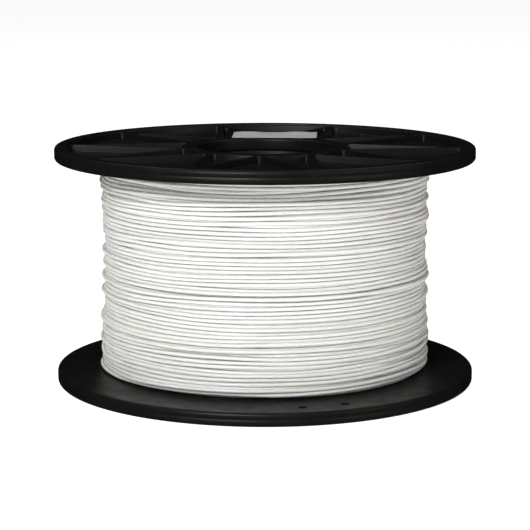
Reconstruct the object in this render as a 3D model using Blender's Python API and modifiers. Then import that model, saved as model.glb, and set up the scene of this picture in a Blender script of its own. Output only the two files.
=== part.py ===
"""Filament spool: two ribbed flanges clipped onto a double-walled barrel, and the filament wound on it.

Metres, +Z up along the spool's axis, origin at the centre of the plane that the spool stands on.
The front of the spool is -Y. Angles are about +Z, from +X.
"""

from math import asin, atan2, cos, pi, radians, sin, sqrt, tau

import bmesh
import bpy
from mathutils import Matrix, Vector

# Driving dimensions of the spool.
FLANGE_RADIUS = 0.100
FLANGE_THICKNESS = 0.0065
INSIDE_WIDTH = 0.100
BORE_RADIUS = 0.032
BARREL_RADIUS = 0.050
WINDING_RADIUS = 0.0775
FILAMENT_DIAMETER = 0.00175

# Each flange is a thin web on the winding's side, with a raised rim, a hub ring and zigzag ribs outside.
WEB_THICKNESS = 0.0024
RIB_DROP = 0.0008
RIB_WIDTH = 0.0022
RIB_PAIRS = 10
RIM_INNER_RADIUS = 0.094
POCKET_OUTER_RADIUS = 0.093
HUB_RING_RADIUS = 0.0395
POCKET_CORNER = 0.0030
RIM_ROUNDING = 0.0016
BORE_ROUNDING = 0.0012

# Holes for the filament's end, in a pair on opposite sides of each flange.
TIE_HOLE_RADIUS = 0.0021
TIE_HOLE_CIRCLE = 0.0902
TIE_HOLE_SPACING = 0.020

# The collar inside each flange, and the clips on it that catch in the barrel's windows.
COLLAR_RADIUS = 0.0472
COLLAR_WALL = 0.0022
COLLAR_LENGTH = 0.0080
COLLAR_SLOT_WIDTH = 0.005
COLLAR_SLOT_START = 0.0010
CLIPS = 5
CLIP_WIDTH = 0.008
CLIP_REACH = 0.0020
CLIP_NEAR = 0.0046
CLIP_FAR = 0.0069
WINDOW_PLAY = 0.0006

# The barrel is a drum around a bore tube, joined by ribs that stop short of the collars.
DRUM_WALL = 0.0023
BORE_TUBE_WALL = 0.0018
BARREL_RIBS = 10
BARREL_RIB_WIDTH = 0.0020
END_RECESS = 0.0095
CELL_LEDGE = 0.0004
ANCHOR_HOLE_RADIUS = 0.0016
ANCHOR_ANGLE = radians(206)
ANCHOR_HEIGHT = 0.0205

# The winding is slightly fuller in the middle than at the flanges.
WINDING_CROWN = 0.0009
WINDING_BANDS = 4

# The label on the upper flange, behind the bore.
LABEL_WIDTH = 0.042
LABEL_DEPTH = 0.027
LABEL_THICKNESS = 0.0002
LABEL_CORNER = 0.002
LABEL_CENTRE = (0.005, 0.0475)
LABEL_TURN = radians(-2)

# How far each flange is turned about the axis. One tie-off pair of each lies at its turn.
UPPER_TURN = radians(50.3)
LOWER_TURN = radians(-73)

# The filament's outer end leaves the winding and goes down through a hole of the lower flange, and its
# inner end comes through the barrel's anchor hole. Points are (degrees, radius, height).
OUTER_END_ROUTE = [
    (161, 0.0789, 0.0100),
    (151, 0.0792, 0.0108),
    (142, 0.0804, 0.0120),
    (133, 0.0829, 0.0130),
    (125, 0.0862, 0.0132),
    (119, 0.0889, 0.0120),
    (115, 0.0901, 0.0096),
    (113.5, 0.0902, 0.0064),
    (113.36, 0.0902, 0.0024),
]
INNER_END_ROUTE = [
    (206, 0.0498, 0.0205),
    (206, 0.0475, 0.0205),
    (206.4, 0.0450, 0.0205),
    (209, 0.0432, 0.0207),
    (214, 0.0424, 0.0212),
    (220, 0.0422, 0.0218),
]

GAP = 0.0003
ROUND_STEPS = 72
ARC_STEP = radians(6)
HOLE_SIDES = 14
ROUTE_SUBDIVISIONS = 2

HEIGHT = 2 * FLANGE_THICKNESS + INSIDE_WIDTH
UPPER_INNER_FACE = FLANGE_THICKNESS + INSIDE_WIDTH
RIB_TOP = FLANGE_THICKNESS - RIB_DROP
BARREL_LENGTH = INSIDE_WIDTH - 2 * GAP


def new_collection(name, hidden=False):
    collection = bpy.data.collections.new(name)
    bpy.context.scene.collection.children.link(collection)
    collection.hide_render = hidden
    return collection


def finish_material(name, colour, roughness):
    material = bpy.data.materials.new(name)
    material.use_nodes = True
    shader = material.node_tree.nodes["Principled BSDF"]
    shader.inputs["Base Color"].default_value = (*colour, 1)
    shader.inputs["Roughness"].default_value = roughness
    shader.inputs["Metallic"].default_value = 0
    return material


def part(name, mesh, collection, material):
    """A named sub-part from a finished mesh."""
    obj = bpy.data.objects.new(name, mesh)
    collection.objects.link(obj)
    if not mesh.materials:
        mesh.materials.append(material)
        mesh.shade_smooth()
        mesh.set_sharp_from_angle(angle=radians(35))
    return obj


def helper(name, data, cutters):
    """A cutter or a blank: it shapes the sub-parts and isn't one of them."""
    obj = bpy.data.objects.new(name, data)
    cutters.objects.link(obj)
    obj.hide_render = True
    obj.display_type = "WIRE"
    return obj


def baked(obj):
    """The object's shape with its modifiers, as one welded mesh in world space."""
    bpy.context.view_layer.update()
    graph = bpy.context.evaluated_depsgraph_get()
    mesh = bpy.data.meshes.new_from_object(obj.evaluated_get(graph))
    mesh.transform(obj.matrix_world)
    work = bmesh.new()
    work.from_mesh(mesh)
    bmesh.ops.remove_doubles(work, verts=work.verts, dist=1e-6)
    bmesh.ops.recalc_face_normals(work, faces=work.faces)
    work.to_mesh(mesh)
    work.free()
    return mesh


def turned(name, profile, cutters):
    """A blank turned about Z from a closed profile of (radius, height) points."""
    mesh = bpy.data.meshes.new(name)
    work = bmesh.new()
    corners = [work.verts.new((radius, 0, height)) for radius, height in profile]
    for first, second in zip(corners, corners[1:] + corners[:1]):
        work.edges.new((first, second))
    work.to_mesh(mesh)
    work.free()
    blank = helper(name, mesh, cutters)
    screw = blank.modifiers.new("Turn", "SCREW")
    screw.axis = "Z"
    screw.angle = tau
    screw.steps = screw.render_steps = ROUND_STEPS
    screw.use_merge_vertices = True
    screw.merge_threshold = 0.00001
    screw.use_smooth_shade = True
    return blank


def prisms(name, outlines, low, high, cutters):
    """Upright prisms between two heights, one for each flat outline, as one helper."""
    curve = bpy.data.curves.new(name, "CURVE")
    curve.dimensions = "2D"
    curve.fill_mode = "BOTH"
    curve.extrude = (high - low) / 2
    for outline in outlines:
        spline = curve.splines.new("POLY")
        spline.points.add(len(outline) - 1)
        for point, corner in zip(spline.points, outline):
            point.co = (*corner, 0, 1)
        spline.use_cyclic_u = True
    guide = helper(name + "_outline", curve, cutters)
    guide.location.z = (low + high) / 2
    mesh = baked(guide)
    bpy.data.objects.remove(guide)
    return helper(name, mesh, cutters)


def change(obj, operation, other):
    modifier = obj.modifiers.new(other.name, "BOOLEAN")
    modifier.operation = operation
    modifier.object = other


def polar(radius, angle):
    return (radius * cos(angle), radius * sin(angle))


def arc(radius, start, end):
    steps = max(2, round(abs(end - start) / ARC_STEP))
    return [polar(radius, start + (end - start) * i / steps) for i in range(steps + 1)]


def turned_outline(outline, angle):
    return [(x * cos(angle) - y * sin(angle), x * sin(angle) + y * cos(angle)) for x, y in outline]


def block_outline(inner, outer, width, angle):
    """A rectangle that lies across a radius."""
    corners = [(inner, -width / 2), (outer, -width / 2), (outer, width / 2), (inner, width / 2)]
    return turned_outline(corners, angle)


def softened(before, corner, after, cut):
    """Three points in place of a corner, from a given distance before it to the same distance after it."""
    before, corner, after = Vector(before), Vector(corner), Vector(after)
    start = corner + (before - corner).normalized() * cut
    end = corner + (after - corner).normalized() * cut
    return [tuple(start), tuple((start + 2 * corner + end) / 4), tuple(end)]


def edge_round(centre_radius, centre_height, rounding, start, end, steps):
    """Points round one edge of a turned profile, about the centre of its rounding."""
    turns = [radians(start + (end - start) * i / steps) for i in range(steps + 1)]
    return [(centre_radius + rounding * cos(t), centre_height + rounding * sin(t)) for t in turns]


def pocket_outline(hub_end, rim_end, base_radius):
    """A three-sided pocket, symmetric about +X, between a rib, its mirror image and an arc.

    The ends are those of the rib on the +Y side. The pocket's base is an arc about the axis.
    """
    hub_end, rim_end = Vector(hub_end), Vector(rim_end)
    along = (rim_end - hub_end).normalized()
    inward = Vector((along.y, -along.x))
    start = hub_end + inward * RIB_WIDTH / 2
    apex = start - along * (start.y / along.y)
    reach = start.dot(along)
    corner = start + along * (sqrt(reach**2 - start.length_squared + base_radius**2) - reach)
    base = arc(base_radius, atan2(corner.y, corner.x), -atan2(corner.y, corner.x))
    outline = softened(base[-1], apex, base[0], POCKET_CORNER)
    outline += softened(apex, base[0], base[1], POCKET_CORNER)
    outline += base[1:-1]
    outline += softened(base[-2], base[-1], apex, POCKET_CORNER)
    return outline


def pocket_outlines():
    """Pockets with their base at the rim, and pockets with their base at the hub midway between them."""
    half = pi / RIB_PAIRS
    hub_vertex, rim_vertex = (HUB_RING_RADIUS, 0), polar(POCKET_OUTER_RADIUS, half)
    outer = pocket_outline(hub_vertex, rim_vertex, POCKET_OUTER_RADIUS)
    hub_vertex, rim_vertex = polar(HUB_RING_RADIUS, half), (POCKET_OUTER_RADIUS, 0)
    inner = pocket_outline(hub_vertex, rim_vertex, HUB_RING_RADIUS)
    outlines = [turned_outline(outer, 2 * half * i) for i in range(RIB_PAIRS)]
    return outlines + [turned_outline(inner, 2 * half * i + half) for i in range(RIB_PAIRS)]


def tie_hole_outlines():
    offset = asin(TIE_HOLE_SPACING / 2 / TIE_HOLE_CIRCLE)
    outlines = []
    for angle in (offset, -offset, pi + offset, pi - offset):
        x, y = polar(TIE_HOLE_CIRCLE, angle)
        ring = [polar(TIE_HOLE_RADIUS, tau * i / HOLE_SIDES) for i in range(HOLE_SIDES)]
        outlines.append([(x + dx, y + dy) for dx, dy in ring])
    return outlines


def clip_angles():
    return [tau * i / CLIPS for i in range(CLIPS)]


def flange_profile():
    collar_inner = COLLAR_RADIUS - COLLAR_WALL
    outer = FLANGE_RADIUS - RIM_ROUNDING
    lip = BORE_RADIUS + BORE_ROUNDING
    return [
        *edge_round(lip, RIB_TOP - BORE_ROUNDING, BORE_ROUNDING, 180, 90, 2),
        (RIM_INNER_RADIUS, RIB_TOP),
        (RIM_INNER_RADIUS, FLANGE_THICKNESS),
        *edge_round(outer, FLANGE_THICKNESS - RIM_ROUNDING, RIM_ROUNDING, 90, 0, 3),
        *edge_round(outer, RIM_ROUNDING, RIM_ROUNDING, 0, -90, 3),
        (COLLAR_RADIUS, 0),
        (COLLAR_RADIUS, -COLLAR_LENGTH),
        (collar_inner, -COLLAR_LENGTH),
        (collar_inner, 0),
        (BORE_RADIUS, 0),
    ]


def flange_mesh(cutters):
    """The moulding that both flanges share, with its inner face at height 0 and its outer face up."""
    flange = turned("flange_blank", flange_profile(), cutters)
    over, under = 2 * FLANGE_THICKNESS, -2 * COLLAR_LENGTH
    change(flange, "DIFFERENCE", prisms("pockets", pocket_outlines(), WEB_THICKNESS, over, cutters))
    change(flange, "DIFFERENCE", prisms("tie_holes", tie_hole_outlines(), -WEB_THICKNESS, over, cutters))
    collar_inner = COLLAR_RADIUS - COLLAR_WALL
    between = pi / CLIPS
    slots = [
        block_outline(collar_inner - COLLAR_WALL, BARREL_RADIUS, COLLAR_SLOT_WIDTH, angle + between)
        for angle in clip_angles()
    ]
    change(flange, "DIFFERENCE", prisms("collar_slots", slots, under, -COLLAR_SLOT_START, cutters))
    clips = [
        block_outline(COLLAR_RADIUS - COLLAR_WALL / 2, COLLAR_RADIUS + CLIP_REACH, CLIP_WIDTH, angle)
        for angle in clip_angles()
    ]
    change(flange, "UNION", prisms("clips", clips, -CLIP_FAR, -CLIP_NEAR, cutters))
    return baked(flange)


def cell_outlines():
    """The hollows between the barrel's ribs."""
    inner = BORE_RADIUS + BORE_TUBE_WALL + CELL_LEDGE
    outer = BARREL_RADIUS - DRUM_WALL - CELL_LEDGE
    half = pi / BARREL_RIBS
    spread_in = half - asin(BARREL_RIB_WIDTH / 2 / inner)
    spread_out = half - asin(BARREL_RIB_WIDTH / 2 / outer)
    outline = arc(outer, -spread_out, spread_out) + arc(inner, spread_in, -spread_in)
    return [turned_outline(outline, tau * i / BARREL_RIBS) for i in range(BARREL_RIBS)]


def barrel_profile():
    end = BARREL_LENGTH / 2
    floor = end - END_RECESS
    tube = BORE_RADIUS + BORE_TUBE_WALL
    drum = BARREL_RADIUS - DRUM_WALL
    upper = [(BORE_RADIUS, end), (tube, end), (tube, floor), (drum, floor), (drum, end), (BARREL_RADIUS, end)]
    return upper + [(radius, -height) for radius, height in reversed(upper)]


def window_outlines(turn):
    inner, outer = BARREL_RADIUS - 2 * DRUM_WALL, BARREL_RADIUS + DRUM_WALL
    width = CLIP_WIDTH + 2 * WINDOW_PLAY
    return [block_outline(inner, outer, width, angle + turn) for angle in clip_angles()]


def barrel_mesh(cutters):
    """The barrel, with the middle of its length at height 0."""
    barrel = turned("barrel_blank", barrel_profile(), cutters)
    change(barrel, "DIFFERENCE", prisms("cells", cell_outlines(), -BARREL_LENGTH, BARREL_LENGTH, cutters))
    near = INSIDE_WIDTH / 2 - CLIP_NEAR + WINDOW_PLAY
    far = INSIDE_WIDTH / 2 - CLIP_FAR - WINDOW_PLAY
    upper_windows = prisms("upper_windows", window_outlines(UPPER_TURN), far, near, cutters)
    lower_windows = prisms("lower_windows", window_outlines(LOWER_TURN), -near, -far, cutters)
    change(barrel, "DIFFERENCE", upper_windows)
    change(barrel, "DIFFERENCE", lower_windows)
    change(barrel, "DIFFERENCE", anchor_hole(cutters))
    return baked(barrel)


def anchor_hole(cutters):
    mesh = bpy.data.meshes.new("anchor_hole")
    work = bmesh.new()
    place = Matrix.Rotation(ANCHOR_ANGLE, 4, "Z")
    place @= Matrix.Translation((BARREL_RADIUS, 0, ANCHOR_HEIGHT - HEIGHT / 2))
    place @= Matrix.Rotation(pi / 2, 4, "Y")
    bmesh.ops.create_cone(
        work,
        cap_ends=True,
        segments=HOLE_SIDES,
        radius1=ANCHOR_HOLE_RADIUS,
        radius2=ANCHOR_HOLE_RADIUS,
        depth=4 * DRUM_WALL,
        matrix=place,
    )
    work.to_mesh(mesh)
    work.free()
    return helper("anchor_hole", mesh, cutters)


def winding_mesh(cutters):
    """The wound filament as one ring, with the middle of its width at height 0."""
    inner = BARREL_RADIUS + GAP
    end = INSIDE_WIDTH / 2 - GAP
    heights = [end - 2 * end * i / WINDING_BANDS for i in range(WINDING_BANDS + 1)]
    outside = [(WINDING_RADIUS - WINDING_CROWN * (height / end) ** 2, height) for height in heights]
    return baked(turned("winding_blank", [(inner, end), *outside, (inner, -end)], cutters))


def smooth_route(route):
    """Points of a smooth curve through a route of (degrees, radius, height) points."""
    points = [Vector((*polar(radius, radians(degrees)), height)) for degrees, radius, height in route]
    ends = [2 * points[0] - points[1], *points, 2 * points[-1] - points[-2]]
    smooth = []
    for a, b, c, d in zip(ends, ends[1:], ends[2:], ends[3:]):
        for i in range(ROUTE_SUBDIVISIONS):
            t = i / ROUTE_SUBDIVISIONS
            bend = 2 * b + (c - a) * t + (2 * a - 5 * b + 4 * c - d) * t**2 + (3 * b - a - 3 * c + d) * t**3
            smooth.append(bend / 2)
    return [*smooth, points[-1]]


def filament_mesh(name, route, cutters):
    curve = bpy.data.curves.new(name, "CURVE")
    curve.dimensions = "3D"
    curve.bevel_depth = FILAMENT_DIAMETER / 2
    curve.bevel_resolution = 2
    curve.use_fill_caps = True
    points = smooth_route(route)
    spline = curve.splines.new("POLY")
    spline.points.add(len(points) - 1)
    for point, place in zip(spline.points, points):
        point.co = (*place, 1)
    guide = helper(name + "_route", curve, cutters)
    mesh = baked(guide)
    bpy.data.objects.remove(guide)
    return mesh


def label_mesh(cutters):
    x, y = LABEL_WIDTH / 2, LABEL_DEPTH / 2
    corners = [(-x, -y), (x, -y), (x, y), (-x, y)]
    outline = []
    for i, corner in enumerate(corners):
        outline += softened(corners[i - 1], corner, corners[(i + 1) % 4], LABEL_CORNER)
    low = UPPER_INNER_FACE + RIB_TOP + GAP
    label = prisms("label_blank", [turned_outline(outline, LABEL_TURN)], low, low + LABEL_THICKNESS, cutters)
    label.location = (*LABEL_CENTRE, 0)
    return baked(label)


def main():
    for obj in list(bpy.data.objects):
        bpy.data.objects.remove(obj, do_unlink=True)
    parts = new_collection("filament_spool")
    cutters = new_collection("cutters", hidden=True)

    black_plastic = finish_material("black_plastic", (0.021, 0.021, 0.018), 0.42)
    barrel_plastic = finish_material("barrel_plastic", (0.018, 0.018, 0.016), 0.50)
    white_filament = finish_material("white_filament", (0.86, 0.85, 0.82), 0.38)
    label_paper = finish_material("label_paper", (0.62, 0.62, 0.60), 0.55)

    moulding = flange_mesh(cutters)
    upper = part("upper_flange", moulding, parts, black_plastic)
    upper.location.z = UPPER_INNER_FACE
    upper.rotation_euler.z = UPPER_TURN
    lower = part("lower_flange", moulding, parts, black_plastic)
    lower.location.z = FLANGE_THICKNESS
    lower.rotation_euler = (pi, 0, LOWER_TURN)

    barrel = part("barrel", barrel_mesh(cutters), parts, barrel_plastic)
    barrel.location.z = HEIGHT / 2
    winding = part("filament_winding", winding_mesh(cutters), parts, white_filament)
    winding.location.z = HEIGHT / 2
    part("filament_outer_end", filament_mesh("outer_end", OUTER_END_ROUTE, cutters), parts, white_filament)
    part("filament_inner_end", filament_mesh("inner_end", INNER_END_ROUTE, cutters), parts, white_filament)
    part("label", label_mesh(cutters), parts, label_paper)


main()
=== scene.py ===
"""The filament spool's looks: two moulded black flanges, the barrel, the wound filament and a blank label.

Metres, +Z up along the spool's axis, and the front is -Y. Angles are about +Z, from +X.
"""

from math import asin, atan2, copysign, cos, pi, radians, sin, sqrt, tan, tau

import bmesh
import bpy
import numpy as np
from bpy.props import FloatProperty, FloatVectorProperty, IntProperty, PointerProperty
from mathutils import Matrix, Vector
from mathutils.geometry import delaunay_2d_cdt


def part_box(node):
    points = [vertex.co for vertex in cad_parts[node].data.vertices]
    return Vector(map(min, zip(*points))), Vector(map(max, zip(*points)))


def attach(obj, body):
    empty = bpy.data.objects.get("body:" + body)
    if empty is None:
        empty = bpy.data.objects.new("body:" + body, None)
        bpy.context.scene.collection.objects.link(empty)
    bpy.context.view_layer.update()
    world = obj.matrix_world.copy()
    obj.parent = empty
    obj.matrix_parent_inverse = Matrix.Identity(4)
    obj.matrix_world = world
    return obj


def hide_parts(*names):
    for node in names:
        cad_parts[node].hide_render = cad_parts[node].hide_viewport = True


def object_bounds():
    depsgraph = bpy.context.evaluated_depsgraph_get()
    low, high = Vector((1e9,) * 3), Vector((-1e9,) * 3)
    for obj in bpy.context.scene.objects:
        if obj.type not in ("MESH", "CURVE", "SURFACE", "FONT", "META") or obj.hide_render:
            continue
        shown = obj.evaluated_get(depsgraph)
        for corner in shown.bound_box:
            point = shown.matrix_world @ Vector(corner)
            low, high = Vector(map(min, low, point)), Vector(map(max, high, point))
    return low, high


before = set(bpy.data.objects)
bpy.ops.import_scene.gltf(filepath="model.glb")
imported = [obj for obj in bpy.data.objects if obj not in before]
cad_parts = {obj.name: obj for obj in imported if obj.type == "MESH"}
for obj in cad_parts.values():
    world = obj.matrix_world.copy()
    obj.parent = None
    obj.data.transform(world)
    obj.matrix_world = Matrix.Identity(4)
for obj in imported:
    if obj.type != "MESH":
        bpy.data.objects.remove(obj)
CAD_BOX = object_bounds()

bl_info = {
    "name": "Filament Spool",
    "version": (1, 0, 0),
    "blender": (4, 5, 0),
    "location": "View3D > Sidebar > Spool",
    "description": "Builds a wound filament spool piece by piece",
    "category": "Object",
}

ROOT = "root"

# Sizes that come from the frame.
GAP = 0.0003
BARREL_LOW, BARREL_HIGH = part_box("barrel")
LOWER_FACE = BARREL_LOW.z - GAP
UPPER_FACE = BARREL_HIGH.z + GAP
BARREL_RADIUS = BARREL_HIGH.x
FLANGE_RADIUS = CAD_BOX[1].x
HEIGHT = CAD_BOX[1].z
FLANGE_THICKNESS = LOWER_FACE

# Sizes of the mouldings that the frame's boxes don't give.
BORE_RADIUS = 0.032
WEB_THICKNESS = 0.0024
RIB_DROP = 0.0008
RIB_TOP = FLANGE_THICKNESS - RIB_DROP
RIM_INNER_RADIUS = 0.094
POCKET_OUTER_RADIUS = 0.093
HUB_RING_RADIUS = 0.0395
TIE_HOLE_CIRCLE = 0.0902
TIE_HOLE_SPACING = 0.020
COLLAR_RADIUS = 0.0472
COLLAR_WALL = 0.0022
COLLAR_LENGTH = 0.0080
CLIPS = 5
CLIP_WIDTH = 0.008
CLIP_NEAR = 0.0046
CLIP_FAR = 0.0069
CLIP_REACH = 0.0020
COLLAR_SLOT_WIDTH = 0.005
COLLAR_SLOT_START = 0.0010
COLLAR_FOOT = 0.0004
WINDOW_PLAY = 0.0006
WINDOW_INNER_RADIUS = 0.0455
WINDOW_OUTER_RADIUS = 0.0525
BORE_TUBE_RADIUS = 0.0338
DRUM_RADIUS = 0.0477
BARREL_RIBS = 10
BARREL_RIB_WIDTH = 0.0020
END_RECESS = 0.0095
ANCHOR_HEIGHT = 0.0205
ANCHOR_ANGLE = radians(206)
ANCHOR_HOLE_RADIUS = 0.0016
ANCHOR_HOLE_DEPTH = 0.0092
BARREL_EDGE = 0.0004
PARTING_DEPTH = 0.00006
PARTING_HALF_WIDTH = 0.00008
ARC_STEP = 0.0016
HOLE_STEPS = 28
UPPER_TURN = radians(50.3)
LOWER_TURN = radians(-73)
ROUND_STEPS = 240
SEAT = 0.00008
WELD = 0.000004
CORE_WELD = 0.000001

# The grid that the winding is laid on, and how the pieces sit on each other.
LAY_ANGLES = 240
LAY_MARGIN = 0.002
CORE_END_GAP = 0.0006
CORE_DEPTH = 0.00005
STRAND_SQUASH = 0.00008
LABEL_LIFT = 0.00005

# The stage.
FLOOR_RADIUS = 14
FLOOR_DROP = 0.0002
AIM_DROP = 0.002


# ---------------------------------------------------------------- settings


def length(name, description, default):
    return FloatProperty(name=name, description=description, default=default, unit="LENGTH")


class SpoolMouldingSettings(bpy.types.PropertyGroup):
    """Sizes and colour of the black mouldings."""

    rib_pairs: IntProperty(name="Rib pairs", description="Zigzag ribs, counted in pairs", default=10, min=3)
    rib_width: length("Rib width", "Thickness of a rib at its top", 0.0022)
    edge_rounding: length("Edge rounding", "Rounding along the tops of the ribs", 0.00035)
    root_fillet: length("Root fillet", "Fillet between a rib and the web", 0.0003)
    draft: length("Draft", "How far a pocket's wall leans in on its way down", 0.00012)
    corner: length("Pocket corner", "Radius of a pocket's corners", 0.0014)
    tie_hole_radius: length("Tie-off hole", "Radius of the holes for the filament's end", 0.0021)
    colour: FloatVectorProperty(
        name="Plastic", description="Colour of the black plastic", default=(0.0062, 0.0062, 0.0054),
        size=3, subtype="COLOR",
    )


class SpoolWindingSettings(bpy.types.PropertyGroup):
    """How the filament is laid on the barrel, and its colour."""

    diameter: length("Filament", "Diameter of the filament", 0.00175)
    even_radius: length("Even to", "Radius up to which the turns are taken as even", 0.067)
    layers: IntProperty(name="Layers", description="Laid passes from flange to flange", default=6, min=2)
    shown_turns: IntProperty(
        name="Strand turns", description="Outermost turns that are made as strands", default=108, min=4
    )
    pitch: FloatProperty(
        name="Pitch", description="Advance per turn, in filament diameters", default=1.08, min=1
    )
    wander: length("Wander", "How far the guide strays from its even advance", 0.00015)
    levelling: FloatProperty(
        name="Levelling", description="How much faster the guide passes over high places", default=0.4, min=0
    )
    seed: IntProperty(name="Seed", description="Seed of the guide's wander", default=5)
    sides: IntProperty(name="Sides", description="Sides of a strand's section", default=7, min=5)
    colour: FloatVectorProperty(
        name="Filament colour", description="Colour of the filament", default=(0.84, 0.825, 0.785),
        size=3, subtype="COLOR",
    )


class SpoolLabelSettings(bpy.types.PropertyGroup):
    """The blank label on the upper flange."""

    width: length("Width", "Across the spool", 0.042)
    depth: length("Depth", "Along the radius", 0.027)
    thickness: length("Thickness", "Of the paper", 0.00015)
    sag: length("Sag", "Into the pockets between ribs", 0.00035)
    corner: length("Corner", "Radius of the corners", 0.002)
    turn: FloatProperty(name="Turn", description="Out of square", default=radians(-2), subtype="ANGLE")
    colour: FloatVectorProperty(
        name="Paper", description="Colour of the paper", default=(0.74, 0.74, 0.72), size=3, subtype="COLOR"
    )


class SpoolStageSettings(bpy.types.PropertyGroup):
    """Floor, light and camera."""

    camera_distance: length("Camera distance", "From the spool's axis, along the floor", 0.935)
    camera_height: length("Camera height", "Above the upper flange's face", 0.107)
    lens: FloatProperty(name="Lens", description="Focal length", default=134, subtype="DISTANCE_CAMERA")
    key: FloatProperty(
        name="Key light", description="Power of the front left light", default=34, unit="POWER"
    )
    fill: FloatProperty(
        name="Fill light", description="Power of the front right light", default=5, unit="POWER"
    )
    top: FloatProperty(name="Top light", description="Power of the overhead light", default=2, unit="POWER")
    back: FloatProperty(name="Back lights", description="Power of each back light", default=4, unit="POWER")
    room: FloatProperty(
        name="Room", description="Brightness of the room round the stage", default=0.93, min=0
    )
    floor: FloatProperty(name="Floor glow", description="Light that the floor gives off", default=0.93, min=0)


# ---------------------------------------------------------------- node trees


class Nodes:
    """Adds nodes to a tree, with their settings and inputs, and links them."""

    def __init__(self, tree):
        self.tree = tree

    def add(self, kind, inputs=None, **settings):
        node = self.tree.nodes.new(kind)
        for name, value in settings.items():
            setattr(node, name, value)
        for key, value in (inputs or {}).items():
            if isinstance(value, bpy.types.NodeSocket):
                self.tree.links.new(value, node.inputs[key])
            else:
                node.inputs[key].default_value = value
        return node

    def math(self, operation, first, second=0.0, third=0.0, clamp=False):
        node = self.add("ShaderNodeMath", {0: first, 1: second, 2: third}, operation=operation)
        node.use_clamp = clamp
        return node.outputs[0]


def geometry_tree(name, inputs):
    """An empty geometry tree, with named inputs given as (name, socket type, default)."""
    tree = bpy.data.node_groups.new(name, "GeometryNodeTree")
    tree.interface.new_socket("Geometry", in_out="INPUT", socket_type="NodeSocketGeometry")
    tree.interface.new_socket("Geometry", in_out="OUTPUT", socket_type="NodeSocketGeometry")
    for label, kind, default in inputs:
        socket = tree.interface.new_socket(label, in_out="INPUT", socket_type=kind)
        if default is not None:
            socket.default_value = default
    return tree


def run_tree(obj, tree, values):
    """Runs a geometry tree on an object, with its inputs by name, and leaves the result as a plain mesh."""
    modifier = obj.modifiers.new(tree.name, "NODES")
    modifier.node_group = tree
    for item in tree.interface.items_tree:
        if item.in_out == "INPUT" and item.name in values:
            modifier[item.identifier] = values[item.name]
    settle(obj)


def settle(obj):
    """Replaces an object's mesh with its shape after all its modifiers, and removes them."""
    bpy.context.view_layer.update()
    graph = bpy.context.evaluated_depsgraph_get()
    mesh = bpy.data.meshes.new_from_object(
        obj.evaluated_get(graph), preserve_all_data_layers=True, depsgraph=graph
    )
    mesh.name = obj.name
    obj.modifiers.clear()
    obj.data = mesh


def ring_tree():
    """Copies of one or two pieces set round the axis, joined to the mesh they belong to."""
    tree = geometry_tree(
        "Ring of copies",
        [
            ("Piece", "NodeSocketObject", None),
            ("Special piece", "NodeSocketObject", None),
            ("Count", "NodeSocketInt", 10),
            ("Special every", "NodeSocketInt", 1),
            ("First angle", "NodeSocketFloat", 0.0),
            ("Weld", "NodeSocketFloat", 0.00001),
            ("Material", "NodeSocketMaterial", None),
        ],
    )
    nodes = Nodes(tree)
    given = nodes.add("NodeGroupInput").outputs
    points = nodes.add("GeometryNodePoints", {"Count": given["Count"]})
    index = nodes.add("GeometryNodeInputIndex").outputs[0]
    step = nodes.math("DIVIDE", tau, given["Count"])
    angle = nodes.math("MULTIPLY_ADD", index, step, given["First angle"])
    rotation = nodes.add("ShaderNodeCombineXYZ", {"Z": angle})
    special = nodes.math("COMPARE", nodes.math("MODULO", index, given["Special every"]), 0.0, 0.1)
    plain = nodes.math("SUBTRACT", 1.0, special)
    copies = []
    for socket, chosen in (("Piece", plain), ("Special piece", special)):
        source = nodes.add("GeometryNodeObjectInfo", {"Object": given[socket]})
        made = nodes.add(
            "GeometryNodeInstanceOnPoints",
            {
                "Points": points.outputs[0],
                "Selection": chosen,
                "Instance": source.outputs["Geometry"],
                "Rotation": rotation.outputs[0],
            },
        )
        copies.append(made.outputs[0])
    join = nodes.add("GeometryNodeJoinGeometry")
    for part in (given["Geometry"], *copies):
        tree.links.new(part, join.inputs[0])
    real = nodes.add("GeometryNodeRealizeInstances", {0: join.outputs[0]})
    weld = nodes.add("GeometryNodeMergeByDistance", {"Geometry": real.outputs[0], "Distance": given["Weld"]})
    smooth = nodes.add("GeometryNodeSetShadeSmooth", {"Geometry": weld.outputs[0]})
    finish = nodes.add(
        "GeometryNodeSetMaterial", {"Geometry": smooth.outputs[0], "Material": given["Material"]}
    )
    nodes.add("NodeGroupOutput", {0: finish.outputs[0]})
    return tree


def strand_tree():
    """A filament of round section along a path."""
    tree = geometry_tree(
        "Filament along path",
        [
            ("Radius", "NodeSocketFloat", 0.0014),
            ("Sides", "NodeSocketInt", 8),
            ("Material", "NodeSocketMaterial", None),
        ],
    )
    nodes = Nodes(tree)
    given = nodes.add("NodeGroupInput").outputs
    path = nodes.add("GeometryNodeMeshToCurve", {"Mesh": given["Geometry"]})
    along = nodes.add("GeometryNodeSplineParameter").outputs["Length"]
    marked = nodes.add(
        "GeometryNodeStoreNamedAttribute",
        {"Geometry": path.outputs[0], "Name": "along", "Value": along},
        data_type="FLOAT",
        domain="POINT",
    )
    section = nodes.add(
        "GeometryNodeCurvePrimitiveCircle", {"Resolution": given["Sides"], "Radius": given["Radius"]}
    )
    tube = nodes.add(
        "GeometryNodeCurveToMesh",
        {"Curve": marked.outputs[0], "Profile Curve": section.outputs[0], "Fill Caps": True},
    )
    smooth = nodes.add("GeometryNodeSetShadeSmooth", {"Geometry": tube.outputs[0]})
    real = nodes.add("GeometryNodeRealizeInstances", {0: smooth.outputs[0]})
    finish = nodes.add(
        "GeometryNodeSetMaterial", {"Geometry": real.outputs[0], "Material": given["Material"]}
    )
    nodes.add("NodeGroupOutput", {0: finish.outputs[0]})
    return tree


# ---------------------------------------------------------------- materials


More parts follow.
